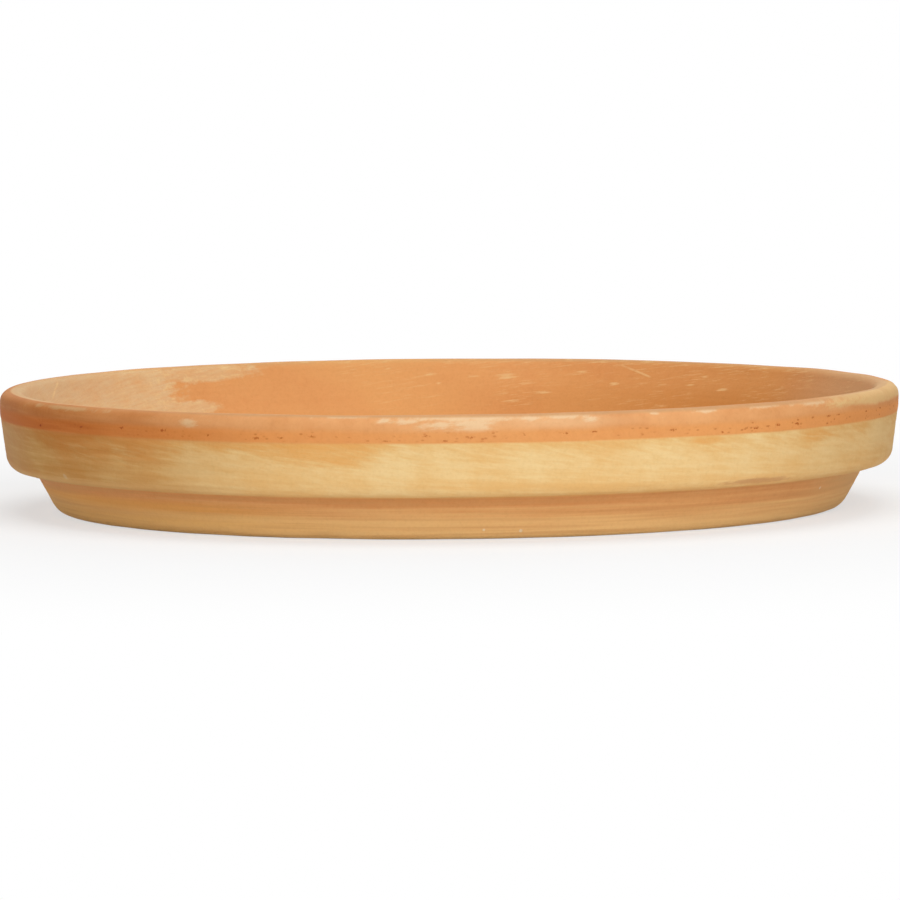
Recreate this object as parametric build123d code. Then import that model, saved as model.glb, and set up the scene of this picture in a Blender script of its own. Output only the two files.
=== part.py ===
from build123d import *

import math
import os

# A round terracotta plant saucer: one piece of fired clay.
# It is a section turned about Z. The origin is the centre of the underside, and +Z is up.
# All lengths are millimetres.

# Overall size
outer_diameter = 280.0
overall_height = 38.0

# Collar, the thick band round the top of the wall
collar_height = 24.5
collar_lean = 2.2
collar_corner_radius = 5.0

# Seam band, the upright strip at the top of the collar, where the two halves of the mould met
seam_band_height = 6.4
seam_edge_radius = 12.0

# Lip, the level top of the collar
lip_width = 6.6
lip_outer_radius = 3.0
lip_inner_radius = 2.5

# Shoulder, the step under the collar
shoulder_width = 8.3
shoulder_fillet_radius = 1.5

# Foot, the cone that stands under the shoulder
foot_lean = 7.1
foot_corner_radius = 6.0

# Dish, the hollow inside the wall
wall_thickness = 8.0
floor_thickness = 8.0
cove_radius = 12.0

# The part of a straight run that the fillets at its two ends may use between them
fillet_room_share = 0.95


def outside_corners():
    """The sharp corners of the outside, from the foot's edge up to the lip, as radius and height."""
    widest_radius = outer_diameter / 2
    collar_edge_radius = widest_radius - collar_lean
    foot_top_radius = collar_edge_radius - shoulder_width
    foot_radius = foot_top_radius - foot_lean
    shoulder_height = overall_height - collar_height
    foot_edge = (foot_radius, 0)
    shoulder_corner = (foot_top_radius, shoulder_height)
    collar_edge = (collar_edge_radius, shoulder_height)
    seam_edge = (widest_radius, overall_height - seam_band_height)
    lip_outer_edge = (widest_radius, overall_height)
    return [foot_edge, shoulder_corner, collar_edge, seam_edge, lip_outer_edge]


def inside_corners(shoulder_corner, lip_outer_edge):
    """The sharp corners of the inside, from the lip down to the floor's edge.

    The inside of the wall is a cone from the lip. It passes the shoulder's corner, where the clay is
    thinnest, at the wall's thickness.
    """
    lip_radius = lip_outer_edge[0] - lip_width
    across = lip_radius - shoulder_corner[0]
    down = overall_height - shoulder_corner[1]
    slope_from_upright = math.atan2(across, down) + math.asin(wall_thickness / math.hypot(across, down))
    dish_depth = overall_height - floor_thickness
    floor_radius = lip_radius - dish_depth * math.tan(slope_from_upright)
    return [(lip_radius, overall_height), (floor_radius, floor_thickness)]


def fitted_radii(points, wanted):
    """The wanted radius at each corner, or less where two fillets don't fit on the run between them."""
    runs = []
    for start, end in zip(points, points[1:]):
        runs.append(Vector(*end) - Vector(*start))
    setbacks = [0]
    for before, after, radius in zip(runs, runs[1:], wanted):
        half_turn = math.radians(before.get_angle(after)) / 2
        setbacks.append(radius * math.tan(half_turn))
    setbacks.append(0)
    room = []
    for run, first, second in zip(runs, setbacks, setbacks[1:]):
        room.append(min(1, fillet_room_share * run.length / (first + second)))
    return [radius * min(before, after) for radius, before, after in zip(wanted, room, room[1:])]


def half_section():
    """Half of the saucer cut through its middle, a face that stands on the axis."""
    outside = outside_corners()
    inside = inside_corners(outside[1], outside[-1])
    points = [(0, 0), *outside, *inside, (0, floor_thickness)]
    wanted = [
        foot_corner_radius,
        shoulder_fillet_radius,
        collar_corner_radius,
        seam_edge_radius,
        lip_outer_radius,
        lip_inner_radius,
        cove_radius,
    ]
    outline = FilletPolyline(*points, radius=fitted_radii(points, wanted))
    axis_edge = Line(points[-1], points[0])
    return Plane.XZ * make_face(outline + axis_edge)


def saucer_body():
    """The whole saucer, the section turned once round its axis."""
    return revolve(half_section(), Axis.Z)


os.makedirs("parts", exist_ok=True)
saucer = saucer_body()
saucer.label = "saucer"
export_step(saucer, "parts/saucer.step")
print(f"saucer: {saucer.volume / CM**3:.1f} cm3, {saucer.bounding_box().size}")
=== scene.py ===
# %% [markdown]
# # A terracotta plant saucer
#
# The saucer is one piece of fired clay: a flat dish, a sloping foot, a shoulder, a thick collar and a
# rounded lip. The clay is orange, and lime from the water has bloomed over it in cream-coloured smears.
# This lesson turns its section into a mesh, works the unevenness of hand-finished clay into that mesh,
# and then builds the finish from noise, one deposit after another.

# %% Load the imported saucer
import math
import random

import bmesh
import bpy
from mathutils import Matrix, Vector, noise


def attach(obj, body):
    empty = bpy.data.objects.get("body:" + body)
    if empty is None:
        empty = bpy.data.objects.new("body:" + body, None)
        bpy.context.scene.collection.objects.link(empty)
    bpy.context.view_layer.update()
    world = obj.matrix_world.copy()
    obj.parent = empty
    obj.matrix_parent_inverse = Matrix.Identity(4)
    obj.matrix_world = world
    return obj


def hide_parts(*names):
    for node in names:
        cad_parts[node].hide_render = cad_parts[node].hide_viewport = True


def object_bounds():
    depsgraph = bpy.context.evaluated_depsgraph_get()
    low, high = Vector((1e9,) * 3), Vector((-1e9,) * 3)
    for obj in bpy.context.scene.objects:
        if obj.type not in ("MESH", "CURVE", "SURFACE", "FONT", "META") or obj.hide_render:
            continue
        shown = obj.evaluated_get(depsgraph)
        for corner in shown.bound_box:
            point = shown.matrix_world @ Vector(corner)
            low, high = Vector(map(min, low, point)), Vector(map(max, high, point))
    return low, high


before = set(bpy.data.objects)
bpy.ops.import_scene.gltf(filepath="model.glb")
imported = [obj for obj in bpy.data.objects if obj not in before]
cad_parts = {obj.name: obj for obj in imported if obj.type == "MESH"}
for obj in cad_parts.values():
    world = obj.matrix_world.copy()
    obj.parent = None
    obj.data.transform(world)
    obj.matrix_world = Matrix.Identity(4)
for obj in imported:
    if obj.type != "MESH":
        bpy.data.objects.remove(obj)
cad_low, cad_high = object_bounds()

MM = 0.001
RIM_RADIUS = cad_high.x / MM
RIM_HEIGHT = cad_high.z / MM
print(f"saucer: {2 * RIM_RADIUS:.1f} mm across and {RIM_HEIGHT:.1f} mm high")

# %% [markdown]
# ## The section
#
# A saucer is made by pressing clay between two turned moulds, so any cut through its middle shows the same
# outline. That outline could be drawn again by hand, point by point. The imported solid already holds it
# exactly, so here the solid is cut with a plane and one half of the cut is kept.

# %% Cut the solid through its middle
CUT_TURN = math.radians(0.05)
SAME_POINT = 0.001 * MM


def on_section(corner):
    """The place of a corner of the cut as radius and height in mm."""
    return Vector((corner.co.xy.length, corner.co.z)) / MM


def half_section(node):
    """The cut's points, from the middle of the underside to the middle of the dish.

    The plane is turned a hair away from the X axis, where the solid's own edges lie.
    """
    cut = bmesh.new()
    cut.from_mesh(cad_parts[node].data)
    bmesh.ops.remove_doubles(cut, verts=cut.verts, dist=SAME_POINT)
    solid = cut.verts[:] + cut.edges[:] + cut.faces[:]
    across_cut = (-math.sin(CUT_TURN), math.cos(CUT_TURN), 0)
    bmesh.ops.bisect_plane(cut, geom=solid, plane_no=across_cut, clear_inner=True, clear_outer=True)
    bmesh.ops.bisect_plane(cut, geom=cut.verts[:] + cut.edges[:], plane_no=(1, 0, 0), clear_inner=True)
    corner = min((v for v in cut.verts if len(v.link_edges) == 1), key=lambda v: v.co.z)
    edge = None
    line = [on_section(corner)]
    for _ in range(len(cut.edges)):
        edge = next(e for e in corner.link_edges if e != edge)
        corner = edge.other_vert(corner)
        line.append(on_section(corner))
    cut.free()
    return line


section = half_section("saucer")
print(f"section: {len(section)} points, from {section[0]} to {section[-1]}")

# %% [markdown]
# The cut's curves are still short straight pieces. Fired clay has no such facets, so the outline is divided
# evenly, and each point is drawn towards its neighbours a few times. A subdivision surface could do this
# too, but it would also pull the collar's corners in. The flat floor and underside need few points, and
# the wall needs many, because that is where the finish has its relief.

# %% Divide the section and take out its facets
FINE_STEP = 0.25
WALL_EVERY = 2
FLAT_EVERY = 24
FLAT_RADIUS = 108.0


def walk(line, step):
    """Points along a line, one at each step."""
    points = [line[0]]
    left = step
    for start, end in zip(line, line[1:]):
        run = (end - start).length
        while left <= run:
            points.append(start.lerp(end, left / run))
            left += step
        left -= run
    return points + [line[-1]]


def softened(line, passes):
    """The line with each inner point moved halfway to the middle of its neighbours, so many times."""
    for _ in range(passes):
        inner = [(a + 2 * b + c) / 4 for a, b, c in zip(line, line[1:], line[2:])]
        line = [line[0], *inner, line[-1]]
    return line


fine = softened(walk(section, FINE_STEP), passes=8)
rings = [fine[0]]
for number, point in enumerate(fine[1:-1]):
    if number % (WALL_EVERY if point.x > FLAT_RADIUS else FLAT_EVERY) == 0:
        rings.append(point)
rings.append(fine[-1])
print(f"outline: {len(fine)} fine points, of which {len(rings)} become rings")

# %% [markdown]
# ## Uneven clay
#
# A saucer leaves its mould soft and warps a little as it dries: the rim lifts by a fraction of a millimetre
# at two opposite places. The wheel leaves fine rings, the sponge leaves shallow lumps, the trimmed seam
# stands a hair proud, and the edges get knocked in use. A Displace modifier could add noise, but it can't
# tell the foot from the lip, so a few small functions give the unevenness of each place in millimetres.

# %% Functions for the unevenness
SADDLE = 0.25
LUMP_DEPTH, LUMP_SIZE, LUMP_SQUASH = 0.16, 21.0, 2
RING_DEPTH, RING_STEP, RING_FADES = 0.07, 1.5, 1.5
RADIUS_SHARE = 0.7
SEAM_LOW, SEAM_STANDS = 29.9, 0.10
SEAM_RISE = (SEAM_LOW - 0.5, SEAM_LOW + 0.2)
WALL_MIDDLE, WALL_SLOPE = 136.5, 0.47
WALL_EDGE = (-0.6, 0.6)


def ease(value, low, high):
    """0 below low, 1 above high and a smooth rise between them."""
    share = min(max((value - low) / (high - low), 0), 1)
    return share * share * (3 - 2 * share)


def warp(x, y, z):
    """How far the clay is lifted by the twist of drying."""
    return -2 * SADDLE * x * y / RIM_RADIUS**2 * z / RIM_HEIGHT


def lumps(x, y, z):
    return LUMP_DEPTH * noise.noise(Vector((x, y, z * LUMP_SQUASH)) / LUMP_SIZE)


def turning_rings(x, y, z, radius):
    """Fine rings, which fade in and out round the saucer."""
    across = (z + RADIUS_SHARE * radius) / RING_STEP
    return RING_DEPTH * noise.noise(Vector((x / radius * RING_FADES, y / radius * RING_FADES, across)))


def past_wall_middle(radius, z):
    """How far a place lies outside the middle of the wall. Numbers and sockets can both be given."""
    return radius - WALL_MIDDLE + WALL_SLOPE * (RIM_HEIGHT - z)


def seam(z, radius):
    """The trimmed band at the top of the collar stands proud, with a crisp lower edge."""
    return SEAM_STANDS * ease(past_wall_middle(radius, z), *WALL_EDGE) * ease(z, *SEAM_RISE)


print(f"unevenness: rim lifts {SADDLE} mm, lumps {LUMP_DEPTH} mm, rings {RING_DEPTH} mm")

# %% [markdown]
# Knocks sit on the three edges that stick out: the lip, the lower edge of the collar and the foot. One long
# worn place on the collar's edge, right of the front, is given, and the others are strewn by chance from a
# fixed seed, so that they come out the same each time.

# %% Strew the knocks
EDGES = {"lip": (139.0, 37.0), "collar": (136.4, 15.0), "foot": (121.4, 1.6)}
KNOCKS_PER_EDGE = 11
KNOCK_WIDTHS = (4, 9)
KNOCK_TALL, KNOCK_DEEP = 0.35, 0.045
WORN_ANGLE, WORN_WIDE, WORN_TALL, WORN_DEEP = 42.0, 12.0, 2.2, 0.45

chance = random.Random(8)
knocks = [(WORN_ANGLE, *EDGES["collar"], WORN_WIDE, WORN_TALL, WORN_DEEP)]
for edge_radius, edge_height in EDGES.values():
    for _ in range(KNOCKS_PER_EDGE):
        wide = chance.uniform(*KNOCK_WIDTHS)
        angle = chance.uniform(0, 360)
        knocks.append((angle, edge_radius, edge_height, wide, wide * KNOCK_TALL, wide * KNOCK_DEEP))


def knocked(angle, radius, z):
    """How deep the clay is knocked in at a place. Angles are counted from the front, to the right."""
    depth = 0
    for knock_angle, knock_radius, knock_height, wide, tall, inner_shade in knocks:
        off = math.hypot(radius - knock_radius, z - knock_height) / tall
        if off < 1:
            turn = math.radians((angle - knock_angle + 180) % 360 - 180)
            off = math.hypot(off, turn * knock_radius / wide)
            depth += inner_shade * (1 - min(off, 1) ** 2) ** 2
    return depth


print(f"knocks: {len(knocks)}")

# %% [markdown]
# ## Turning the section
#
# A Screw modifier or the spin operator would turn the outline into a perfect round. This clay isn't one, so
# the rings are laid out point by point and the unevenness goes in at once, square to the outline. The
# underside is only ever pushed up, because the saucer stands on it.

# %% Lay out the rings
TURN_STEPS = 360
FRONT_TO_X_AXIS = 90
FACES_DOWN = 0.9


def clay_point(before, here, after, step):
    """One point of a ring in metres, moved out of the clay or into it by the unevenness."""
    turn = 2 * math.pi * step / TURN_STEPS
    along = (after - before).normalized()
    x, y, z = here.x * math.cos(turn), here.x * math.sin(turn), here.y
    push = lumps(x, y, z) + turning_rings(x, y, z, here.x) + seam(z, here.x)
    push -= knocked(math.degrees(turn) + FRONT_TO_X_AXIS, here.x, z)
    if along.x > FACES_DOWN:
        push = -abs(push)
    reach = here.x + along.y * push
    z += warp(x, y, z) - along.x * push
    return Vector((reach * math.cos(turn), reach * math.sin(turn), z)) * MM


points = [Vector((0, 0, rings[0].y)) * MM]
for outline in zip(rings, rings[1:], rings[2:]):
    points += [clay_point(*outline, step) for step in range(TURN_STEPS)]
points.append(Vector((0, 0, rings[-1].y)) * MM)
print(f"rings: {len(points)} points")

# %% [markdown]
# Neighbouring rings are joined with four-sided faces. A fan of triangles closes the underside in the middle,
# and another closes the dish, so the mesh has no hole.

# %% Join the rings
ring_starts = range(1, len(points) - 1, TURN_STEPS)
faces = []
for step in range(TURN_STEPS):
    turned = (step + 1) % TURN_STEPS
    faces.append((0, ring_starts[0] + turned, ring_starts[0] + step))
    for low, high in zip(ring_starts, ring_starts[1:]):
        faces.append((low + step, low + turned, high + turned, high + step))
    faces.append((len(points) - 1, ring_starts[-1] + step, ring_starts[-1] + turned))


def set_in_scene(name, data):
    """Makes an object from a mesh, a lamp or a camera, and links it into the scene."""
    made = bpy.data.objects.new(name, data)
    bpy.context.scene.collection.objects.link(made)
    return made


mesh = bpy.data.meshes.new("saucer_clay")
mesh.from_pydata(points, [], faces)
mesh.shade_smooth()
saucer = set_in_scene("saucer_clay", mesh)
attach(saucer, "root")
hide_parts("saucer")
print(f"saucer: {len(points)} points and {len(faces)} faces")

# %% [markdown]
# ## Shader maths in plain Python
#
# The finish needs a lot of sums on places and noise. Node by node that is hard to read, so a small class
# wraps a socket: adding, scaling or comparing two of them adds the Math node for it.

# %% A socket that Python maths can use
class Wire:
    """A value in the current node tree. Each operator adds one Math node."""

    tree = None

    def __init__(self, socket):
        self.socket = socket

    @classmethod
    def start(cls, owner):
        """Empties the node tree of a material or a world. Nodes that follow are added to it."""
        owner.use_nodes = True
        cls.tree = owner.node_tree
        cls.tree.nodes.clear()

    @classmethod
    def node(cls, kind, settings=(), sockets=(), out=0):
        """Adds a node: its settings first, then a value or a Wire for each named or numbered socket."""
        made = cls.tree.nodes.new(kind)
        for name, value in dict(settings).items():
            setattr(made, name, value)
        for name, value in dict(sockets).items():
            if isinstance(value, Wire):
                cls.tree.links.new(value.socket, made.inputs[name])
            else:
                made.inputs[name].default_value = value
        if isinstance(out, tuple):
            return [cls(made.outputs[name]) for name in out]
        return cls(made.outputs[out]) if made.outputs else made

    @classmethod
    def maths(cls, operation, *values):
        return cls.node("ShaderNodeMath", {"operation": operation}, enumerate(values))

    def __add__(self, other):
        return self.maths("ADD", self, other)

    __radd__ = __add__

    def __sub__(self, other):
        return self.maths("SUBTRACT", self, other)

    def __rsub__(self, other):
        return self.maths("SUBTRACT", other, self)

    def __mul__(self, other):
        return self.maths("MULTIPLY", self, other)

    __rmul__ = __mul__

    def __truediv__(self, other):
        return self.maths("DIVIDE", self, other)

    def __rtruediv__(self, other):
        return self.maths("DIVIDE", other, self)

    def __or__(self, other):
        return self.maths("MAXIMUM", self, other)

    __ror__ = __or__

    def __and__(self, other):
        return self.maths("MINIMUM", self, other)

    __rand__ = __and__

    def rises(self, low, high):
        """0 below low, 1 above high and a smooth rise between them."""
        smooth = {"interpolation_type": "SMOOTHSTEP"}
        sockets = {"Value": self, "From Min": low, "From Max": high}
        return self.node("ShaderNodeMapRange", smooth, sockets)

    def falls(self, low, high):
        return 1 - self.rises(low, high)

    def swing(self, amount):
        """Noise from 0 to 1, moved to lie evenly about 0 and scaled."""
        return (self - 0.5) * amount

    def between(self, low, high, soft):
        """1 from low to high, fading over a soft edge on both sides."""
        return self.rises(low - soft, low + soft) * self.falls(high - soft, high + soft)


print("shader maths: numbers")

# %% [markdown]
# A Math node would turn a colour grey and would only use part of a place, so colours go through Mix nodes
# and places through Vector Math nodes.

# %% Helpers for places and colours
def vector(x, y, z):
    return Wire.node("ShaderNodeCombineXYZ", (), {0: x, 1: y, 2: z})


def vector_maths(operation, *values, out=0):
    return Wire.node("ShaderNodeVectorMath", {"operation": operation}, enumerate(values), out)


def mix(first, second, mask, blend="MIX"):
    """A colour that goes from first to second as the mask goes from 0 to 1."""
    settings = {"data_type": "RGBA", "blend_type": blend}
    return Wire.node("ShaderNodeMix", settings, {0: mask, 6: first, 7: second}, out=2)


print("shader maths: places and colours")

# %% [markdown]
# ## Places on the saucer
#
# Every deposit sits somewhere: below the seam, on the lip, on the left of the dish. The finish therefore
# starts with the place of each point in millimetres, its distance from the axis and its angle round it.
# A UV map could give the same, but it would have a cut. Seen unrolled, the wall is a flat strip, measured
# from the front for the outside and from the back for the inside, which the camera sees across the dish.

# %% Measure the place of each point
terracotta = bpy.data.materials.new("terracotta_with_lime")
Wire.start(terracotta)

metres = Wire.node("ShaderNodeTexCoord", out="Object")
x, y, height = [
    part / MM for part in Wire.node("ShaderNodeSeparateXYZ", (), {0: metres}, ("X", "Y", "Z"))
]
radius = Wire.maths("SQRT", x * x + y * y) | 1.0
right, back = x / radius, y / radius
front_arc = Wire.maths("ARCTAN2", x, 0 - y) * RIM_RADIUS
rear_arc = Wire.maths("ARCTAN2", x, y) * RIM_RADIUS
front_wall, rear_wall = vector(front_arc, height, 0), vector(rear_arc, height, 0)
across = height + RADIUS_SHARE * radius
outside = past_wall_middle(radius, height).rises(*WALL_EDGE)
inside = (1 - outside) * height.rises(3.0, 5.0)
print("places: height, radius, arc, outside and inside")

# %% [markdown]
# Lime and dirt never lie evenly. Round spots of noise stand for stains, and noise that is drawn out round
# the saucer stands for the strokes of a hand or a sponge. A painted picture could hold both, but it would
# be blurred close up, and noise changes its size with one number.

# %% Noise in patches and in streaks
SIDE_BLEND = (-0.25, 0.25)
SECOND_SET = 31


def cloud(place, detail, roughness):
    sockets = {"Vector": place, "Scale": 1.0, "Detail": detail, "Roughness": roughness}
    return Wire.node("ShaderNodeTexNoise", (), sockets)


def patches(size, detail=3.0, roughness=0.5, seed=0.0):
    """Even noise whose patches are about so many mm across."""
    return cloud(vector(x / size + seed, y / size, height / size), detail, roughness)


def streaks(length, width, slant=0.0, detail=3.0, roughness=0.5, seed=0.0):
    """Noise drawn out round the saucer, in streaks of that length and width in mm.

    A slant above 0 runs down to the right, seen from outside. Slanted streaks can't close on themselves, so
    two sets with their cuts on opposite sides are faded into each other.
    """
    turn = RIM_RADIUS / length

    def field(arc, shift):
        place = vector(right * turn + shift, back * turn, (across + arc * slant) / width)
        return cloud(place, detail, roughness)

    if not slant:
        return field(front_arc, seed)
    facing = back.rises(*SIDE_BLEND)
    return field(front_arc, seed) * (1 - facing) + field(0 - rear_arc, seed + SECOND_SET) * facing


print("noise: patches and streaks")

# %% [markdown]
# Some marks stand at one place of this saucer, such as the broad wipe at the front of the lip. Each is an
# oval on the unrolled wall, listed by angle, height, half width and half height. On its own an oval would
# look stamped, so noise is added to it before its edge is set.

# %% Marks at a given place on the wall
def dab(angle, middle, wide, tall, wall=front_wall):
    """1 in the middle of an oval mark, 0 on its edge and less outside it.

    The angle is in degrees, to the right, and the height, half width and half height are in mm.
    """
    centre = (math.radians(angle) * RIM_RADIUS, middle, 0)
    away = vector_maths("DIVIDE", vector_maths("SUBTRACT", wall, centre), (wide, tall, 1))
    return 1 - vector_maths("LENGTH", away, out="Value")


def dabs(places, wall=front_wall):
    marks = dab(*places[0], wall)
    for place in places[1:]:
        marks = marks | dab(*place, wall)
    return marks


print("marks: ovals on the unrolled wall")

# %% [markdown]
# ## Bare clay
#
# Under everything is the fired clay itself: orange, slightly mottled, and deeper in colour where the
# kiln was hotter. A flat colour would look like plastic, so two sizes of noise shift it between two clays.

# %% Colour the bare clay
CLAY = (0.775, 0.355, 0.130, 1)
DEEP_CLAY = (0.66, 0.245, 0.072, 1)
mottle = patches(26, seed=3).rises(0.35, 0.75) * 0.4 + patches(2.2, detail=4).rises(0.35, 0.8) * 0.3
colour = mix(CLAY, DEEP_CLAY, mottle)
print("bare clay: two colours, mottled")

# %% [markdown]
# ## Foot
#
# Water stands round the foot and leaves level streaks of brown and ochre. The foot is also painted browner
# just under the collar, as painted shade, and more ochre towards the ground, partly lime and partly painted
# light from the floor. Noise that is long round the saucer and short across it gives the streaks.

# %% Streak the foot and paint its shade and light
OCHRE = (0.88, 0.56, 0.235, 1)
FOOT_BROWN = (0.70, 0.36, 0.135, 1)
SHOULDER = (12.6, 13.6)
on_foot = outside * height.falls(*SHOULDER)
level = streaks(90, 2.4, detail=4, roughness=0.55, seed=2)
# Painted light: more ochre towards the ground, as though the floor lit the foot from below, over level
# streaks.
ochre_and_floor_light = (0.14 + height.falls(2, 12) * 0.8 + level.swing(2.0)).rises(0.0, 1.05)
# Painted shade: browner just under the collar, over brown streaks.
brown_and_shade = level.falls(0.34, 0.55) * 0.5 + height.rises(9, 13) * 0.3
colour = mix(colour, FOOT_BROWN, on_foot * brown_and_shade)
colour = mix(colour, OCHRE, on_foot * ochre_and_floor_light)
print("foot: streaks of brown and ochre")

# %% [markdown]
# The low left of the foot is painted a paler, warmer ochre, as painted light from the floor, with an orange
# streak at half its height. Its lower edge is paler still, partly lime that has crept up from the ground and
# partly painted light from the floor. These are soft bands of height and side, laid over the streaks, and
# fine brown threads tie them together.

# %% Paint floor light on the foot and streak its left
FLOOR_LIT_OCHRE = (0.95, 0.585, 0.205, 1)
LIME_AND_FLOOR_LIGHT = (0.95, 0.64, 0.29, 1)
FOOT_ORANGE = (0.90, 0.46, 0.105, 1)
# Painted light: the low left of the foot is paler, as though lit by the floor.
floor_lit = height.falls(3.0, 8.0) * right.falls(-0.6, -0.1) * 0.8
colour = mix(colour, FLOOR_LIT_OCHRE, on_foot * floor_lit)
# Lime on the lower edge of the foot, together with painted light from the floor.
lime_and_floor_light = height.falls(1.0, 4.5) * (0.4 + right.rises(-0.9, -0.3) * 0.4)
colour = mix(colour, LIME_AND_FLOOR_LIGHT, on_foot * lime_and_floor_light)
orange_streak = height.between(6.5, 10.0, 1.5) * right.falls(-0.65, -0.25) * 0.5
colour = mix(colour, FOOT_ORANGE, on_foot * orange_streak)
thread = streaks(70, 1.7, detail=4, seed=51)
colour = mix(colour, FOOT_BROWN, on_foot * thread.falls(0.34, 0.54) * 0.36)
print("foot: warm on the left, pale at the ground")

# %% [markdown]
# ## Lime bloom on the collar
#
# Below the seam band the collar is covered with a cream-coloured bloom, which a wet hand has wiped
# downwards to the right. Three sets of streaks give the strokes: slanted ones above, nearly level ones
# below, and short dry ones over both. The bloom ends at the seam, crisply on the right and softly on the
# left, where it is also thin.

# %% Strokes and limits of the bloom
THIN_PLACES = [
    (-49, 28.0, 62, 10), (-20, 29.5, 48, 5), (-16, 27.5, 34, 8), (33, 28.6, 8, 1.8), (53, 27.2, 15, 2.6),
]
smear = streaks(14, 2.3, slant=0.26, detail=6, roughness=0.66)
wash = streaks(60, 2.2, slant=0.03, seed=7)
dry = streaks(10, 1.0, slant=0.12, detail=5, roughness=0.7, seed=27)
veil = patches(24, detail=5, roughness=0.65, seed=11)
upper = height.rises(19, 27)
seam_edge = SEAM_LOW + streaks(40, 9, seed=5).swing(1.0)
below_seam = (height - seam_edge) / (1 + right.falls(-0.8, 0.0) * 2.0)
collar = outside * height.rises(*SHOULDER) * below_seam.falls(-0.4, 0.35)
thin = dabs(THIN_PLACES).rises(0.0, 0.8)
print(f"bloom: three sets of strokes and {len(THIN_PLACES)} thin places")

# %% [markdown]
# A thin yellow coat lies everywhere, a thicker one covers most of it except at the thin places, and the
# palest wipes lie on that. Last come a few smudges on the left. One coat with more noise could do, but
# several thin ones over each other show the clay through in places, as real lime does.

# %% Spread the coats of bloom
THIN_COAT = (0.82, 0.42, 0.120, 1)
BLOOM = (0.82, 0.50, 0.187, 1)
CREAM = (0.88, 0.64, 0.305, 1)
SMUDGES = [(-68, 22.5, 18, 5.5), (-54, 25.5, 10, 1.9), (-44, 25.3, 10, 1.7), (-33, 24.0, 12, 2.2)]
colour = mix(colour, THIN_COAT, collar * 0.85)
coat = 1.0 - height.rises(26, 29.8) * 0.25 - thin * 0.58
coat = coat + (smear.swing(0.9) + veil.swing(1.4)) * upper + dry.swing(0.4 + thin * 1.6)
colour = mix(colour, BLOOM, collar * coat.rises(-0.1, 0.95))
wipe = 0.40 + height.between(20, 27, 4) * 0.24 - height.rises(26.5, 30) * 0.12 - thin * 0.55
wipe = wipe + smear.swing(0.5 + upper * 0.9) + wash.swing(0.9 - upper * 0.5) + veil.swing(1.5)
wipe = wipe + dry.swing(0.7 + thin * 0.9)
colour = mix(colour, CREAM, collar * wipe.rises(0.05, 0.95))
smudged = (dabs(SMUDGES) * 0.9 + dry.swing(2.2)).rises(0.1, 1.0)
colour = mix(colour, CREAM, collar * smudged * 0.45)
print(f"collar: cream wipes over two coats, and {len(SMUDGES)} smudges")

# %% [markdown]
# ## Lip
#
# The lip has a thin peach film. Its right end is creamy all over, with a ragged border, because lime was
# wiped along it while wet. Short streaks that rise to the right fray this border and all later wipes.

# %% Film and right end of the lip
PEACH = (0.86, 0.43, 0.178, 1)
on_lip = outside * (height + streaks(22, 6, seed=9).swing(1.8)).rises(32.2, 35.0)
fray = streaks(5.5, 0.9, slant=-0.12, detail=5, roughness=0.75, seed=4)
colour = mix(colour, PEACH, on_lip * patches(16, seed=8).rises(0.25, 0.7) * 0.8)
right_end = (front_arc + fray.swing(60)).between(138, 222, 12)
right_end = right_end * (height + veil.swing(4)).rises(34.2, 35.6)
colour = mix(colour, CREAM, (on_lip | height.rises(36.0, 37.2)) * right_end * (0.45 + fray * 0.6))
print("lip: a peach film and a creamy right end")

# %% [markdown]
# In places a thumb has wiped lime along the lip: a broad wipe at the front over a faint veil, a few short
# ones beside it and crumbs along the top edge. The wipes are listed one by one, and the crumbs come from
# noise.
# The level top is painted darker, partly grime and partly painted shade.

# %% Wipes, grime and painted shade on the lip
PALE_LIME = (0.87, 0.60, 0.345, 1)
GRIME_AND_SHADE = (0.60, 0.335, 0.155, 1)
LIP_VEIL = (14, 35.6, 30, 3.2)
LIP_WIPES = [
    (0.8, 37.2, 25, 1.5), (3.0, 35.3, 8.5, 2.8), (-1.4, 35.4, 7.0, 2.2), (-7.6, 36.6, 3.6, 1.2),
    (-4.9, 36.4, 5.0, 1.2), (9.6, 37.0, 5.0, 0.9), (17.2, 36.4, 3.2, 1.6), (14.0, 37.3, 9.0, 0.9),
    (25.5, 37.4, 2.4, 0.8), (33.0, 37.3, 5.0, 0.8), (42.5, 37.6, 9.0, 1.0), (51.8, 37.4, 11, 1.2),
    (-33.4, 34.8, 4.0, 1.5), (-57.0, 37.1, 24, 0.9), (-12.5, 37.6, 8.0, 0.5),
]
wipes = dabs(LIP_WIPES) * 0.9 + fray.swing(2.2) + patches(3.2, seed=7).swing(0.7)
strewn = fray.rises(0.55, 0.72) * patches(13, seed=6).rises(0.46, 0.60) * height.rises(34.0, 36.5)
lime = on_lip * height.falls(37.2, 38.0) * (wipes.rises(-0.05, 0.70) * 0.9 | strewn * 0.6)
colour = mix(colour, PALE_LIME, on_lip * dab(*LIP_VEIL).rises(0.0, 0.9) * 0.3)
colour = mix(colour, PALE_LIME, lime)
# Grime and painted shade darken the level top of the lip.
grime_and_shade = height.rises(37.0, 37.9) * (0.35 + patches(7, seed=1) * 0.6)
grime_and_shade = grime_and_shade * right.rises(-1.0, -0.3) * right.falls(0.7, 0.95)
colour = mix(colour, GRIME_AND_SHADE, grime_and_shade)
print(f"lip: {len(LIP_WIPES)} wipes, crumbs and grime")

# %% [markdown]
# ## Seam stripe
#
# Trimming the seam has laid a stripe of fresh clay bare. On the left it is painted a deeper orange, as
# painted shade.
# A mask of height gives the stripe, and the noise that veils the collar also veils its upper edge.

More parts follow.
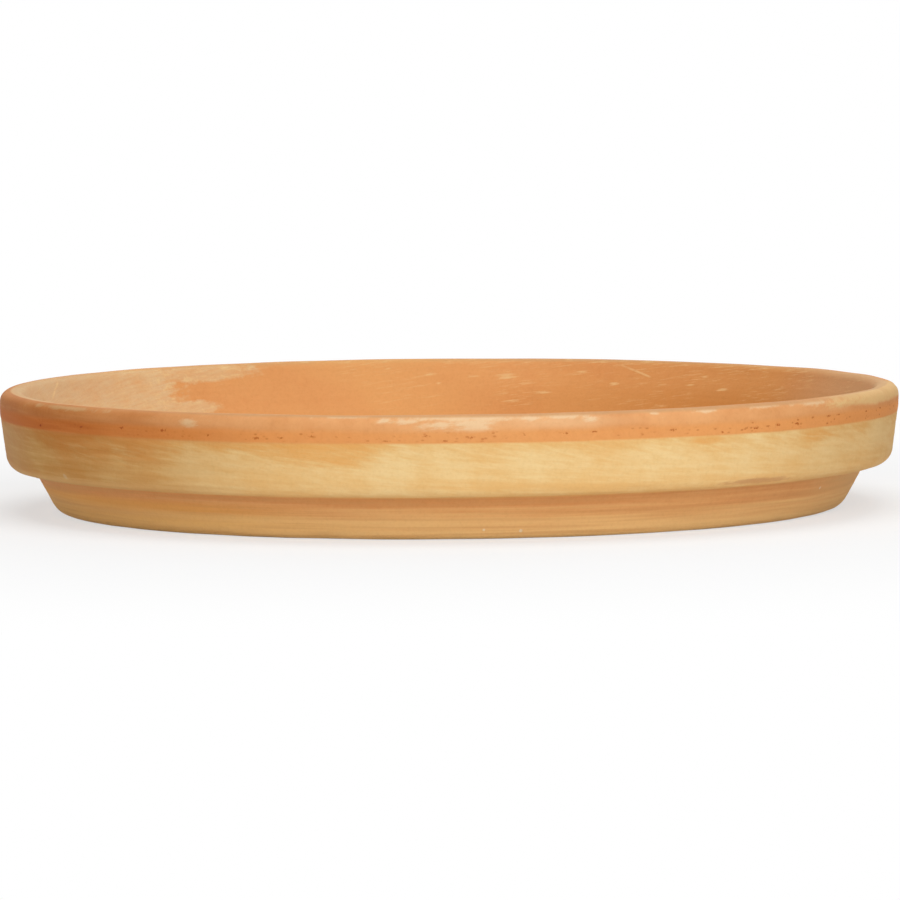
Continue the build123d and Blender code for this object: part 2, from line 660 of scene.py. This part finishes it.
# %% Bare the seam stripe
FRESH_CLAY = (0.87, 0.37, 0.108, 1)
SHADE_ORANGE = (0.80, 0.26, 0.045, 1)
bared = outside * height.rises(29.5, 30.3) * (height + veil.swing(2)).falls(32.4, 34.4)
bared = bared * (0.45 + right * right * 0.4 + veil.swing(0.5))
colour = mix(colour, FRESH_CLAY, bared)
# Painted shade: the stripe is a deeper orange on the left.
colour = mix(colour, SHADE_ORANGE, bared * right.falls(-0.7, 0.05) * 0.8)
print("seam: a stripe of fresh clay")

# %% [markdown]
# The trimming knife also tore out grains, which leaves a line of small brown pits. The larger ones are
# listed one by one. The others come from a Voronoi texture: each of its cells has one point, and in some of
# the cells the clay round that point becomes a pit.

# %% Pit the seam
PIT_BROWN = (0.46, 0.085, 0.005, 1)
CELL_WIDE, CELL_TALL = 1.7, 0.95
CELLS_LEFT_WHOLE = 0.54
PITS = [
    (44.4, 31.7, 1.5, 0.6), (42.6, 31.5, 1.3, 0.45), (40.6, 31.3, 1.6, 0.5), (39.0, 31.5, 0.8, 0.4),
    (47.8, 31.7, 1.2, 0.5), (51.1, 33.0, 0.9, 0.5), (54.5, 32.9, 1.4, 0.5), (57.0, 33.1, 1.0, 0.5),
    (64.7, 32.8, 0.9, 0.5), (70.0, 33.0, 1.1, 0.5), (35.2, 30.6, 0.9, 0.5), (28.1, 32.2, 1.6, 0.45),
    (14.2, 32.4, 1.0, 0.5), (17.6, 32.6, 1.6, 0.4), (9.0, 32.4, 0.8, 0.6), (2.6, 31.5, 1.1, 0.55),
    (-0.6, 30.5, 1.3, 0.45), (-2.8, 32.1, 1.2, 0.55), (-7.6, 30.7, 1.3, 0.5), (-16.7, 31.8, 1.4, 0.6),
    (-20.6, 31.3, 1.2, 0.45), (-23.9, 31.2, 1.5, 0.6), (-30.5, 31.6, 1.0, 0.5), (-37.2, 32.5, 1.6, 0.5),
    (-44.0, 32.6, 1.3, 0.45), (-52.0, 32.0, 1.1, 0.5), (-62.0, 31.2, 1.3, 0.6),
]
on_seam = outside * height.between(30.4, 33.2, 0.35)
cells = {"Vector": vector(x / CELL_WIDE, y / CELL_WIDE, height / CELL_TALL), "Scale": 1.0}
grains, grain_kind = Wire.node("ShaderNodeTexVoronoi", (), cells, ("Distance", "Color"))
torn = grains.falls(0.12, 0.46) * patches(7, seed=43).rises(0.42, 0.60) * right.rises(-1.1, -0.2)
torn = torn * Wire.maths("GREATER_THAN", grain_kind, CELLS_LEFT_WHOLE)
crumbs = patches(0.55, detail=2, roughness=0.6, seed=2)
pits = on_seam * ((dabs(PITS) + crumbs.swing(2.8)).rises(0.15, 0.9) | torn * 0.7)
colour = mix(colour, PIT_BROWN, pits * (0.64 + right * right * 0.4))
print(f"seam: {len(PITS)} large pits and many small ones")

# %% [markdown]
# ## Wear on the outside
#
# The worn place on the collar's edge shows bare clay. A crumb of white lime sticks to the collar on the
# left, and three to the foot. They are marks at known places, so ovals with frayed edges give them too.

# %% Worn edge and crumbs
WORN_CLAY = (0.64, 0.325, 0.135, 1)
WHITE_LIME = (0.88, 0.76, 0.58, 1)
WORN_PLACE = (WORN_ANGLE, 15.2, WORN_WIDE * 1.6, 1.2)
CRUMBS = [(-57.3, 16.1, 1.5, 1.2), (4.6, 3.1, 0.7, 0.6), (9.7, 2.6, 0.8, 0.7), (62.0, 9.6, 0.9, 0.6)]
worn = (dab(*WORN_PLACE) + fray.swing(1.8)).rises(0.05, 0.6) * outside
colour = mix(colour, WORN_CLAY, worn * 0.75)
colour = mix(colour, WHITE_LIME, outside * (dabs(CRUMBS) + crumbs.swing(1.0)).rises(0.1, 0.55) * 0.7)
print(f"wear: one worn edge and {len(CRUMBS)} crumbs")

# %% [markdown]
# Both sides of the outer wall are painted darker and redder, the left one most, as painted shade where the
# light falls away from them, broken up in level wisps of noise. A multiplied tint does that without a second
# set of colours. The foot and the top of the lip get less of it.

# %% Paint shade on the sides
# Painted shade: the sides of the wall, the left one most, are darkened by a multiplied tint.
SIDE_SHADE = (0.63, 0.46, 0.27, 1)
shaded = right.falls(-0.95, -0.25) | right.rises(0.55, 1.0) * 0.4
shade_wisps = 0.75 + patches(30, seed=17) * 0.5 + streaks(26, 1.6, slant=0.02, detail=4, seed=53).swing(0.8)
shaded = shaded * shade_wisps * outside * (1 - on_foot * 0.9)
shaded = shaded * (1 - height.rises(36.3, 38.0) * 0.3)
colour = mix(colour, SIDE_SHADE, shaded, "MULTIPLY")
print("sides: browned, the left one most")

# %% [markdown]
# A pale band lies along the lower edge of the collar, most of all on the left. It is partly pale dust and
# partly painted light where the floor lights that edge from below. The same colour lies on the right end of
# the foot. At the far left the wall is greyed by a painted sheen, where it turns away from the camera. Both
# lie over the painted shade of the sides, so they are mixed in last.

# %% Dust, painted light and painted sheen on the sides
EDGE_DUST_AND_LIGHT = (0.78, 0.52, 0.225, 1)
GRAZING_SHEEN = (0.53, 0.36, 0.22, 1)
# Pale dust, with painted light from the floor, along the collar's lower edge.
dust_and_floor_light = height.between(13.4, 15.6, 0.8) * (right.falls(-0.85, -0.35) * 0.33 + 0.08)
dust_and_floor_light = dust_and_floor_light | on_foot * right.rises(0.80, 0.97) * height.rises(5, 10) * 0.5
colour = mix(colour, EDGE_DUST_AND_LIGHT, outside * dust_and_floor_light)
# Painted sheen: the far left of the wall, seen edge-on, is greyed the way a reflection of the white room
# would grey it.
grazing_sheen = right.falls(-1.0, -0.88) * (0.3 - height.rises(28, 31) * 0.2) * (1 - on_foot * 0.7)
colour = mix(colour, GRAZING_SHEEN, outside * grazing_sheen)
print("sides: dust on two edges, ash at the far left")

# %% [markdown]
# ## Inside of the dish
#
# The inner wall has a thin film of lime, more of it on the left. It is painted browner on the right, as
# painted shade, and browner lower down on that side. Wide, soft masks are enough here, because no stroke
# shows in either.

# %% Film and painted shade of the inner wall
INNER_FILM = (0.81, 0.405, 0.142, 1)
INNER_SHADE = (0.60, 0.252, 0.062, 1)
inner_wall = inside * height.rises(12, 22)
film = patches(40, seed=21).rises(0.3, 0.7) * 0.6 + right.falls(-0.3, 0.5) * 0.4
colour = mix(colour, INNER_FILM, inner_wall * film)
# Painted shade: the right of the inner wall, and its lower part there, is browner.
inner_shade = right.rises(0.1, 0.8) * 0.5 + height.falls(24, 34) * right.rises(-0.2, 0.4) * 0.4
colour = mix(colour, INNER_SHADE, inner_wall * inner_shade)
print("inner wall: film on the left, brown on the right")

# %% [markdown]
# Lime has dried on the left of the inner wall in one large pale patch, whose right end runs out in ragged
# fingers. It is a stretch of the unrolled wall with two ovals at its end, frayed by two kinds of noise.

# %% Lay the large patch
PINK_LIME = (0.79, 0.55, 0.295, 1)
PATCH_ENDS = (-320.0, -104.0)
PATCH_FADES = (80, 14)
FINGERS = [(-37.5, 36.2, 22, 3.2), (-42, 25.3, 15, 2.4)]
brush = streaks(12, 1.3, slant=0.16, detail=5, roughness=0.65, seed=14)
broad = (PATCH_ENDS[1] - rear_arc) / PATCH_FADES[1] & (rear_arc - PATCH_ENDS[0]) / PATCH_FADES[0]
broad = broad | dabs(FINGERS, rear_wall) * 2.2
ragged = broad + brush.swing(1.3) + patches(5, detail=5, roughness=0.7, seed=37).swing(2.4)
patch = inside * ragged.rises(-0.2, 0.6) * height.rises(12, 20) * height.falls(37.6, 38.4)
body = 0.74 + patches(11, detail=5, seed=19).swing(1.2) + brush.swing(0.8)
colour = mix(colour, PINK_LIME, patch * body)
print(f"inside: one large patch with {len(FINGERS)} fingers")

# %% [markdown]
# Strokes run through the patch, some of them down to the clay, and its border flakes off in cream-coloured
# scales. Both ends of the inner wall, where it turns towards the camera, are painted a dull grey-tan as
# painted shade.

# %% Strokes, flakes and painted shade inside
END_SHADE = (0.65, 0.44, 0.25, 1)
strokes = streaks(7, 0.8, slant=0.16, detail=5, roughness=0.7, seed=45)
colour = mix(colour, CLAY, patch * strokes.falls(0.32, 0.50) * 0.35)
colour = mix(colour, CREAM, patch * strokes.rises(0.50, 0.72) * 0.45)
edge = patch * (0.35 + ragged.falls(0.4, 1.6) * 0.65)
flaky = patches(2.4, detail=4, roughness=0.65, seed=41).rises(0.52, 0.68) | fray.rises(0.50, 0.68)
colour = mix(colour, CREAM, edge * flaky * 0.6)
# Painted shade: both ends of the inner wall are dulled to grey-tan.
end_shade = right.rises(0.78, 0.98) * height.rises(18, 28) | right.falls(-1.0, -0.7) * height.rises(22, 36)
colour = mix(colour, END_SHADE, inside * end_shade * 0.5)
print("inside: strokes and flakes in the patch, dust at both ends")

# %% [markdown]
# The inner wall has been scratched twice. A scratch is a thin straight line, so it is measured from its two
# ends: how far a point lies along the line, and how far off it. Noise breaks the line up.

# %% Scratches on the inner wall
SCRATCHES = [((-74.8, 32.6), (-69.7, 37.2), 0.45), ((25.4, 36.5), (30.5, 32.9), 0.38)]


def scratch(start, end, wide):
    """A thin straight mark between two places on the inner wall, each an angle and a height."""
    first, last = [Vector((math.radians(angle) * RIM_RADIUS, up, 0)) for angle, up in (start, end)]
    along = (last - first).normalized()
    away = vector_maths("SUBTRACT", rear_wall, first[:])
    run = vector_maths("DOT_PRODUCT", away, along[:], out="Value")
    off = vector_maths("DOT_PRODUCT", away, (-along.y, along.x, 0), out="Value")
    return Wire.maths("ABSOLUTE", off).falls(wide * 0.4, wide) * run.between(0, (last - first).length, 0.8)


scratches = (scratch(*SCRATCHES[0]) | scratch(*SCRATCHES[1])) * fray.rises(0.30, 0.62)
print(f"inside: {len(SCRATCHES)} scratches")

# %% [markdown]
# Short wipes of lime rise to the right all over the inner wall, with larger flecks where a finger pressed,
# and specks along the far rim. The same short streaks make all three, cut off at different levels.

# %% Wipes, flecks and specks on the inner wall
FLECKS = [
    (-8.8, 35.3, 2.5, 0.5), (-2.7, 33.4, 3.5, 1.0), (-1.5, 30.3, 1.3, 0.9), (-0.5, 35.6, 2.0, 0.5),
    (3.3, 32.8, 4.0, 0.7), (8.6, 32.6, 6.0, 3.6), (16.4, 34.7, 2.2, 0.9), (19.6, 34.1, 3.0, 0.6),
    (9.4, 24.6, 7.0, 0.9), (13.8, 27.4, 7.0, 0.7), (22.3, 37.2, 6.0, 0.6), (24.8, 30.4, 2.6, 0.8),
    (37.6, 30.8, 4.0, 0.8), (43.7, 29.7, 4.0, 0.9), (39.8, 33.5, 3.0, 0.7), (57.0, 34.6, 3.0, 1.2),
]
short = streaks(8.0, 0.75, slant=0.16, detail=5, roughness=0.68, seed=23)
flecks = (dabs(FLECKS, rear_wall) + short.swing(3.6)).rises(0.30, 1.3)
many = (patches(24, detail=2, seed=29) + right * 0.08 + height.rises(26, 36) * 0.06).rises(0.44, 0.64)
wall_wipes = short.rises(0.52, 0.74) * many * 0.48 | scratches * 0.5 | flecks * 0.62
colour = mix(colour, CREAM, inside * height.rises(18, 24) * wall_wipes)
rim_specks = short.rises(0.50, 0.66) * patches(9, seed=47).rises(0.44, 0.60) * height.rises(36.2, 37.0)
colour = mix(colour, CREAM, (1 - outside) * rim_specks * back.rises(0.2, 0.6) * 0.6)
print(f"inside: {len(FLECKS)} flecks, short wipes and specks on the rim")

# %% [markdown]
# The floor of the dish has cloudy stains, and an uneven tide mark where water stood round a pot. Both soak
# through the clay and show on the underside, fainter, so one mask covers both faces.

# %% Stains on the floor and the underside
TIDE_RADIUS, TIDE_WIDE = 92.0, 3
on_floor = inside * height.falls(9, 18) | (1 - outside) * height.falls(2, 4) * 0.7
stain = patches(30, detail=6, roughness=0.62, seed=33)
colour = mix(colour, PINK_LIME, on_floor * stain.rises(0.46, 0.74) * 0.5)
shore = radius + patches(36, detail=4, seed=35).swing(22)
tide = shore.between(TIDE_RADIUS, TIDE_RADIUS + TIDE_WIDE, 2.5)
colour = mix(colour, PINK_LIME, on_floor * tide * stain.rises(0.38, 0.55) * 0.55)
colour = mix(colour, DEEP_CLAY, on_floor * stain.falls(0.32, 0.48) * 0.5)
print(f"dish floor: lime stains and a tide mark about {TIDE_RADIUS:.0f} mm from the middle")

# %% [markdown]
# ## Putting the finish together
#
# Fired clay is matt, so the roughness is high, and highest where lime lies. Its grain shows as a faint
# speckle. The finest relief, such as the grain, brush marks and pits, is smaller than the mesh's faces, so
# a Bump node gives it.

# %% Shade the clay
SPECKLE = (0.80, 0.74, 0.66, 1)
BARE_ROUGHNESS = 0.80
SHEEN_OF_CLAY = 0.22
grain = patches(0.9, detail=4, roughness=0.6)
colour = mix(colour, SPECKLE, grain.rises(0.42, 0.75) * 0.22, "MULTIPLY")
relief = grain.swing(0.09) + lime * 0.05 + patch * 0.04 - pits * 0.07 + collar * (smear + wash) * 0.05
bump = Wire.node("ShaderNodeBump", (), {"Strength": 1.0, "Distance": 1.0, "Height": relief * MM})
finish = {
    "Base Color": colour,
    "Roughness": BARE_ROUGHNESS + lime * 0.12 + patch * 0.1,
    "Normal": bump,
    "Specular IOR Level": SHEEN_OF_CLAY,
}
shader = Wire.node("ShaderNodeBsdfPrincipled", (), finish)
Wire.node("ShaderNodeOutputMaterial", (), {"Surface": shader})
mesh.materials.append(terracotta)
print(f"finish: {len(Wire.tree.nodes)} nodes")

# %% [markdown]
# ## Floor, light and white surroundings
#
# The saucer stands on a plain pale floor, which fades into white. Near the saucer the floor is lit and
# keeps the soft shadow, and further off the camera sees it as pure white. Brighter lamps could whiten it
# too, but they would bleach the clay.

# %% Make the floor
FLOOR_SIDE = 60.0
FADE = (0.13, 0.40)
NEAR_WHITE = 0.6
PAPER = (0.93, 0.93, 0.93, 1)
WHITE = (1, 1, 1, 1)


def looked_at():
    """1 for rays that the camera, a mirror or glass looks along, and 0 for rays that only carry light."""
    kinds = ("Is Camera Ray", "Is Glossy Ray", "Is Transmission Ray")
    camera_ray, glossy_ray, glass_ray = Wire.node("ShaderNodeLightPath", out=kinds)
    return camera_ray | glossy_ray | glass_ray


floor_mesh = bpy.data.meshes.new("floor")
half = FLOOR_SIDE / 2
corners = [(-half, -half, 0), (half, -half, 0), (half, half, 0), (-half, half, 0)]
floor_mesh.from_pydata(corners, [], [(0, 1, 2, 3)])
floor = set_in_scene("floor", floor_mesh)

paper = bpy.data.materials.new("white_paper")
Wire.start(paper)
seen = looked_at()
floor_place = Wire.node("ShaderNodeTexCoord", out="Object")
far = vector_maths("LENGTH", floor_place, out="Value").rises(*FADE)
lit = Wire.node("ShaderNodeBsdfDiffuse", (), {"Color": PAPER})
white = Wire.node("ShaderNodeEmission", (), {"Color": WHITE, "Strength": 1.0})
whiteness = seen * (NEAR_WHITE + far * (1 - NEAR_WHITE))
surface = Wire.node("ShaderNodeMixShader", (), {0: whiteness, 1: lit, 2: white})
Wire.node("ShaderNodeOutputMaterial", (), {"Surface": surface})
floor_mesh.materials.append(paper)
print("floor: white paper that keeps the shadow")

# %% [markdown]
# Large square lamps give soft shadows, as a studio's boxes do. The strongest stand in front and above, a
# weak one lights the left of the wall from low down, and one behind keeps the far side from going dark.
# The room is white to the eye but sheds little light of its own.

# %% Light the saucer
AMBIENT = 0.10
world = bpy.data.worlds.new("white_room")
bpy.context.scene.world = world
Wire.start(world)
brightness = AMBIENT + looked_at() * (1 - AMBIENT)
sky = Wire.node("ShaderNodeBackground", (), {"Color": WHITE, "Strength": brightness})
Wire.node("ShaderNodeOutputWorld", (), {"Surface": sky})


def soft_lamp(name, azimuth, elevation, distance, size, power):
    """A square lamp that faces the saucer. Azimuth is counted from the camera, to the right."""
    data = bpy.data.lights.new(name, "AREA")
    data.size = size
    data.energy = power
    a, e = math.radians(azimuth), math.radians(elevation)
    way = Vector((math.sin(a) * math.cos(e), -math.cos(a) * math.cos(e), math.sin(e)))
    lamp = set_in_scene(name, data)
    lamp.location = way * distance
    lamp.rotation_euler = way.to_track_quat("Z", "Y").to_euler()


soft_lamp("key", azimuth=18, elevation=23, distance=1.7, size=1.1, power=15)
soft_lamp("top", azimuth=18, elevation=86, distance=1.5, size=1.3, power=13)
soft_lamp("low_left", azimuth=-78, elevation=5, distance=1.2, size=0.7, power=3.0)
soft_lamp("rear", azimuth=168, elevation=38, distance=1.7, size=1.1, power=5)
print("light: soft lamps in front, above, low on the left and behind, and a white room")

# %% [markdown]
# ## The camera
#
# The photograph was taken from far off with a long lens, only a few degrees above the rim. The camera's
# place is counted in rim radii, and the lens follows from how many pixels the rim's radius fills.

# %% Aim the camera
PICTURE_SIDE = 900
RIM_SCALE_PX = 448.1
CAMERA_BACK = 15.0 * RIM_RADIUS * MM
CAMERA_ABOVE_RIM = 0.961 * RIM_RADIUS * MM
AIM = Vector((0.0002, 0, 0.0177))
ROLL = math.radians(-0.507)
FARTHEST_SEEN = 100

camera_data = bpy.data.cameras.new("camera")
camera = set_in_scene("camera", camera_data)
camera.location = (0, -CAMERA_BACK, RIM_HEIGHT * MM + CAMERA_ABOVE_RIM)
look = (AIM - camera.location).to_track_quat("-Z", "Y").to_matrix().to_4x4()
camera.matrix_world = Matrix.Translation(camera.location) @ look @ Matrix.Rotation(ROLL, 4, "Z")
rim_distance_px = RIM_SCALE_PX * math.hypot(CAMERA_BACK, CAMERA_ABOVE_RIM) / (RIM_RADIUS * MM)
camera_data.lens = camera_data.sensor_width * rim_distance_px / PICTURE_SIDE
camera_data.clip_end = FARTHEST_SEEN
bpy.context.scene.camera = camera
bpy.context.scene.view_settings.view_transform = "Standard"
print(f"camera: {camera_data.lens:.0f} mm lens")
